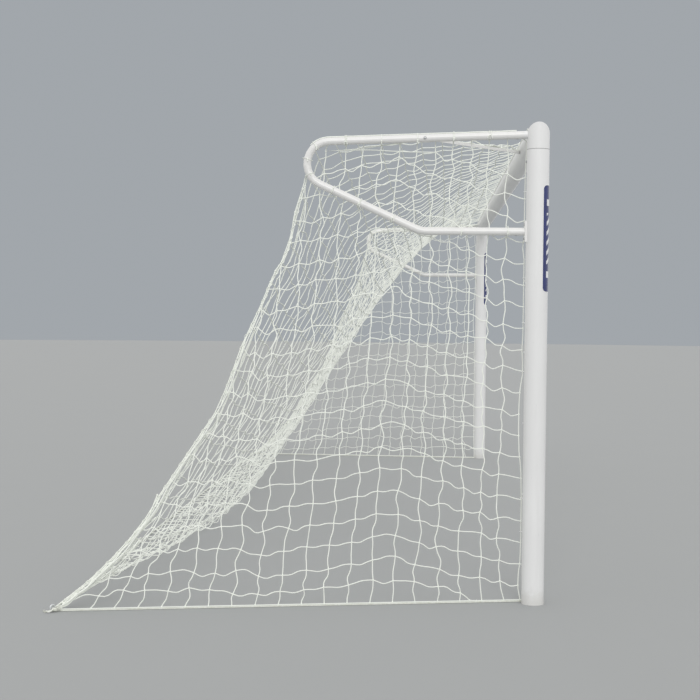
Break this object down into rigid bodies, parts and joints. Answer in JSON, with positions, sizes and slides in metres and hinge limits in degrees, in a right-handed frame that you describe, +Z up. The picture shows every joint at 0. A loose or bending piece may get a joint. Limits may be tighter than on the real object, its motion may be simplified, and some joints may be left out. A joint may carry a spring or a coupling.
{
  "type": "soccer goal",
  "caption": "Full-size socketed goal: round posts in ground sleeves, crossbar on mitred castings, bent net supports with stays, hooked box net, ground rope and pegs.",
  "frame": {"origin": "on the ground, on the goal line, midway between the posts' axes", "axes": "+X along the goal line, +Y from the field towards the net, +Z up"},
  "size_m": [7.9824, 2.5726, 3.1343],
  "materials": {
    "frame_white": "white powder coat",
    "support_white": "white powder coat on steel",
    "socket_alloy": "mill finish",
    "foot_plastic": "moulded",
    "zinc_steel": "zinc plated",
    "label_film": "printed vinyl film",
    "net_twine": "braided twine",
    "rope": "braided rope"
  },
  "bodies": {
    "ground_sockets": {"socket_sleeve_left": "socket_alloy", "socket_sleeve_right": "socket_alloy", "socket_base_left": "foot_plastic", "socket_base_right": "foot_plastic"},
    "goal_frame": {"post_left": "frame_white", "post_right": "frame_white", "crossbar": "frame_white", "corner_left": "frame_white", "corner_right": "frame_white", "net_support_left": "support_white", "net_support_right": "support_white", "support_saddle_left": "support_white", "support_saddle_right": "support_white", "stay_bar_left": "support_white", "stay_bar_right": "support_white", "post_foot_left": "foot_plastic", "post_foot_right": "foot_plastic", "corner_post_bolt_left": "zinc_steel", "corner_post_bolt_right": "zinc_steel", "corner_bar_bolt_left": "zinc_steel", "corner_bar_bolt_right": "zinc_steel", "saddle_bolt_upper_left": "zinc_steel", "saddle_bolt_upper_right": "zinc_steel", "saddle_bolt_lower_left": "zinc_steel", "saddle_bolt_lower_right": "zinc_steel", "support_screw_upper_left": "zinc_steel", "support_screw_upper_right": "zinc_steel", "support_screw_lower_left": "zinc_steel", "support_screw_lower_right": "zinc_steel", "stay_tube_bolt_left": "zinc_steel", "stay_tube_bolt_right": "zinc_steel", "stay_bar_bolt_left": "zinc_steel", "stay_bar_bolt_right": "zinc_steel", "label_left": "label_film", "label_right": "label_film", "net_roof": "net_twine", "net_back": "net_twine", "net_side_left": "net_twine", "net_side_right": "net_twine", "ground_rope": "rope"},
    "net_peg_left": {"net_peg_left": "zinc_steel"},
    "net_peg_right": {"net_peg_right": "zinc_steel"}
  },
  "joints": [
    {"name": "goal_lift", "type": "slide", "parent": "ground_sockets", "child": "goal_frame", "axis": [0, 0, 1], "range_m": [0, 0.6]},
    {"name": "peg_left_pull", "type": "slide", "parent": "goal_frame", "child": "net_peg_left", "axis": [0, 0, 1], "range_m": [0, 0.26]},
    {"name": "peg_right_pull", "type": "slide", "parent": "goal_frame", "child": "net_peg_right", "axis": [0, 0, 1], "range_m": [0, 0.26]}
  ]
}
